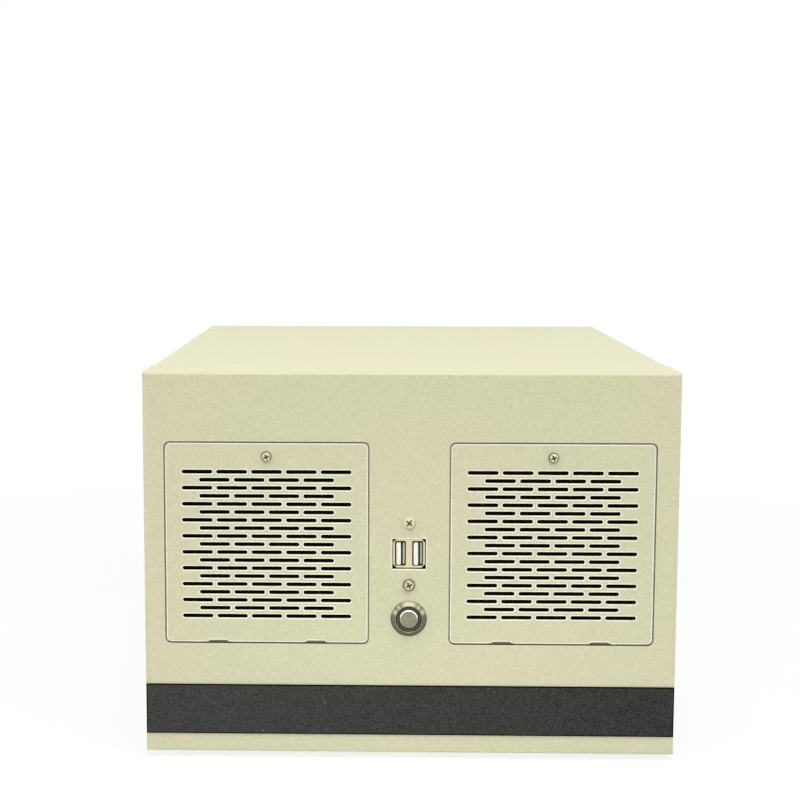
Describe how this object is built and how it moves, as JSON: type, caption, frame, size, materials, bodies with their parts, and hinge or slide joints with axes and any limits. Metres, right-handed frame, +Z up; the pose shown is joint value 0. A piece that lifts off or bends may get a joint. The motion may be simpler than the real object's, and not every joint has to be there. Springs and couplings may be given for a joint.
{
  "type": "desktop computer",
  "caption": "Low, wide sheet-steel computer that lies flat, with square slotted filter doors, front USB sockets, a metal push button and a cover that slides off.",
  "frame": {"origin": "the middle of the whole box's bottom face, on the surface that the feet stand on", "axes": "+Z up, -Y towards the front with the doors and the push button, +X to the right as seen from the front"},
  "size_m": [0.266, 0.332, 0.196],
  "materials": {
    "beige_paint": "fine-textured baked enamel",
    "black_band": "flat charcoal film",
    "zinc": "plain zinc-plated sheet",
    "stainless": "turned and polished",
    "dark_plastic": "moulded",
    "white_plastic": "moulded",
    "foam": "open-cell foam mat",
    "board": "solder mask",
    "aluminium": "extruded and cast",
    "rubber": "moulded"
  },
  "bodies": {
    "chassis": {"front_panel": "beige_paint", "chassis_tub": "beige_paint", "rear_panel": "beige_paint", "front_band": "black_band", "filter_tray_left": "beige_paint", "filter_tray_right": "beige_paint", "filter_mat_left": "foam", "filter_mat_right": "foam", "front_fan_left": "dark_plastic", "front_fan_right": "dark_plastic", "usb_shell": "stainless", "usb_tongue_left": "white_plastic", "usb_tongue_right": "white_plastic", "usb_bracket": "zinc", "usb_screw_upper": "beige_paint", "usb_screw_lower": "stainless", "button_housing": "stainless", "button_ring": "dark_plastic", "button_nut": "zinc", "slot_cover_1": "zinc", "slot_cover_2": "zinc", "slot_cover_3": "zinc", "slot_cover_4": "zinc", "slot_clamp": "zinc", "io_shield": "zinc", "supply_case": "zinc", "supply_fan": "dark_plastic", "supply_guard": "stainless", "mains_inlet": "dark_plastic", "switch_frame": "dark_plastic", "heat_sink": "aluminium", "cooler_fan": "dark_plastic", "audio_socket": "stainless", "network_socket_1": "stainless", "network_socket_2": "stainless", "serial_socket_1": "stainless", "serial_socket_2": "stainless", "keyboard_socket": "stainless", "main_board": "board", "memory_module_1": "board", "memory_module_2": "board", "drive_shelf": "zinc", "hard_drive": "aluminium", "foot_front_left": "rubber", "foot_front_right": "rubber", "foot_rear_left": "rubber", "foot_rear_right": "rubber"},
    "button": {"button_cap": "stainless"},
    "door_left": {"filter_door_left": "beige_paint", "door_screw_left": "stainless"},
    "door_right": {"filter_door_right": "beige_paint", "door_screw_right": "stainless"},
    "rotor_left": {"front_rotor_left": "dark_plastic"},
    "rotor_right": {"front_rotor_right": "dark_plastic"},
    "rotor_supply": {"supply_rotor": "dark_plastic"},
    "rotor_cooler": {"cooler_rotor": "dark_plastic"},
    "rocker": {"switch_rocker": "dark_plastic"},
    "cover": {"top_cover": "beige_paint"}
  },
  "joints": [
    {"name": "power_button", "type": "slide", "parent": "chassis", "child": "button", "axis": [0, 1, 0], "range_m": [0, 0.002], "stiffness_N_per_m": 800, "springref_m": -0.001},
    {"name": "filter_door_left", "type": "hinge", "parent": "chassis", "child": "door_left", "pos_m": [-0.0715, -0.1634, 0.0605], "axis": [1, 0, 0], "range_deg": [0, 40]},
    {"name": "filter_door_right", "type": "hinge", "parent": "chassis", "child": "door_right", "pos_m": [0.0705, -0.1634, 0.0605], "axis": [1, 0, 0], "range_deg": [0, 40]},
    {"name": "front_fan_left", "type": "hinge", "parent": "chassis", "child": "rotor_left", "pos_m": [-0.0715, -0.14, 0.1098], "axis": [0, 1, 0], "continuous": true},
    {"name": "front_fan_right", "type": "hinge", "parent": "chassis", "child": "rotor_right", "pos_m": [0.0705, -0.14, 0.1098], "axis": [0, 1, 0], "continuous": true},
    {"name": "supply_fan", "type": "hinge", "parent": "chassis", "child": "rotor_supply", "pos_m": [0.0248, 0.136, 0.146], "axis": [0, 1, 0], "continuous": true},
    {"name": "cooler_fan", "type": "hinge", "parent": "chassis", "child": "rotor_cooler", "pos_m": [0.045, 0.0528, 0.0598], "axis": [0, 0, 1], "continuous": true},
    {"name": "supply_switch", "type": "hinge", "parent": "chassis", "child": "rocker", "pos_m": [0.0978, 0.1525, 0.168], "axis": [1, 0, 0], "range_deg": [0, 14]},
    {"name": "top_cover", "type": "slide", "parent": "chassis", "child": "cover", "axis": [0, 1, 0], "range_m": [0, 0.29]}
  ]
}
